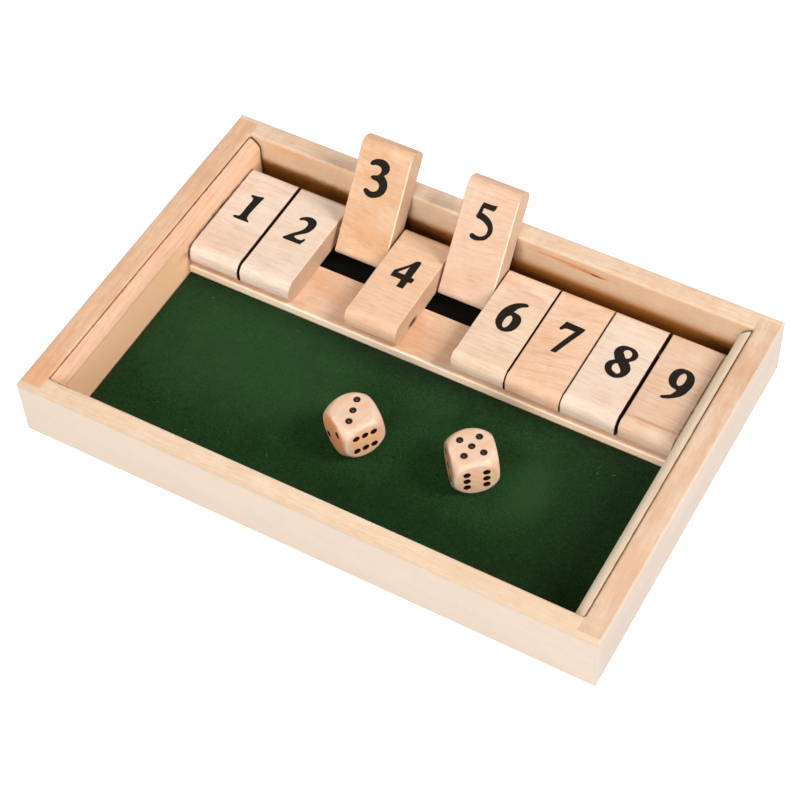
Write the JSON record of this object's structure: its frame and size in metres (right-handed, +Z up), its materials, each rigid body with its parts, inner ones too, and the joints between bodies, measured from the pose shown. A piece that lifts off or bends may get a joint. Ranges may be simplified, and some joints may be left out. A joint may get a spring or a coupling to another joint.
{
  "type": "shut the box game",
  "caption": "Shallow wooden game tray with a felt throwing area, a row of numbered wooden tiles that swing up on a rod and lean back on the rear board, and loose wooden dice.",
  "frame": {"origin": "centre of the case's flat underside, on the surface that it stands on", "axes": "+X along the row of tiles from the lowest number to the highest, +Y from the throwing tray to the tiles, +Z up"},
  "size_m": [0.216, 0.1446, 0.0426],
  "materials": {
    "board_wood": "pale maple boards with a thin satin varnish",
    "liner_wood": "pale maple strip with a thin satin varnish",
    "ledge_wood": "pale maple strip with a thin satin varnish",
    "tile_wood": "pale maple tiles with the grain across, sanded, thin satin varnish",
    "dice_wood": "tumbled pale wood with a satin varnish",
    "black_ink": "black printed numerals and painted pips",
    "base_board": "thin board painted matt black on its upper side",
    "green_felt": "pressed felt, dark green, glued down",
    "rod_steel": "plain drawn steel rod"
  },
  "bodies": {
    "case": {"front_board": "board_wood", "back_board": "board_wood", "left_board": "board_wood", "right_board": "board_wood", "base_panel": "base_board", "felt_mat": "green_felt", "left_liner": "liner_wood", "right_liner": "liner_wood", "tile_ledge": "ledge_wood", "pivot_rod": "rod_steel"},
    "tile_1_body": {"tile_1": "tile_wood"},
    "tile_2_body": {"tile_2": "tile_wood"},
    "tile_3_body": {"tile_3": "tile_wood"},
    "tile_4_body": {"tile_4": "tile_wood"},
    "tile_5_body": {"tile_5": "tile_wood"},
    "tile_6_body": {"tile_6": "tile_wood"},
    "tile_7_body": {"tile_7": "tile_wood"},
    "tile_8_body": {"tile_8": "tile_wood"},
    "tile_9_body": {"tile_9": "tile_wood"},
    "die_1_body": {"die_1": "dice_wood"},
    "die_2_body": {"die_2": "dice_wood"}
  },
  "joints": [
    {"name": "tile_1_turn", "type": "hinge", "parent": "case", "child": "tile_1_body", "pos_m": [0, 0.0498, 0.01082], "axis": [-1, 0, 0], "range_deg": [0, 123.7]},
    {"name": "tile_2_turn", "type": "hinge", "parent": "case", "child": "tile_2_body", "pos_m": [0, 0.0498, 0.01082], "axis": [-1, 0, 0], "range_deg": [0, 123.7]},
    {"name": "tile_3_turn", "type": "hinge", "parent": "case", "child": "tile_3_body", "pos_m": [0, 0.0498, 0.01082], "axis": [-1, 0, 0], "range_deg": [-123.7, 0]},
    {"name": "tile_4_turn", "type": "hinge", "parent": "case", "child": "tile_4_body", "pos_m": [0, 0.0498, 0.01082], "axis": [-1, 0, 0], "range_deg": [0, 123.7]},
    {"name": "tile_5_turn", "type": "hinge", "parent": "case", "child": "tile_5_body", "pos_m": [0, 0.0498, 0.01082], "axis": [-1, 0, 0], "range_deg": [-123.7, 0]},
    {"name": "tile_6_turn", "type": "hinge", "parent": "case", "child": "tile_6_body", "pos_m": [0, 0.0498, 0.01082], "axis": [-1, 0, 0], "range_deg": [0, 123.7]},
    {"name": "tile_7_turn", "type": "hinge", "parent": "case", "child": "tile_7_body", "pos_m": [0, 0.0498, 0.01082], "axis": [-1, 0, 0], "range_deg": [0, 123.7]},
    {"name": "tile_8_turn", "type": "hinge", "parent": "case", "child": "tile_8_body", "pos_m": [0, 0.0498, 0.01082], "axis": [-1, 0, 0], "range_deg": [0, 123.7]},
    {"name": "tile_9_turn", "type": "hinge", "parent": "case", "child": "tile_9_body", "pos_m": [0, 0.0498, 0.01082], "axis": [-1, 0, 0], "range_deg": [0, 123.7]},
    {"name": "die_1_lift", "type": "slide", "parent": "case", "child": "die_1_body", "axis": [0, 0, 1], "range_m": [0, 0.06]},
    {"name": "die_2_lift", "type": "slide", "parent": "case", "child": "die_2_body", "axis": [0, 0, 1], "range_m": [0, 0.06]}
  ]
}
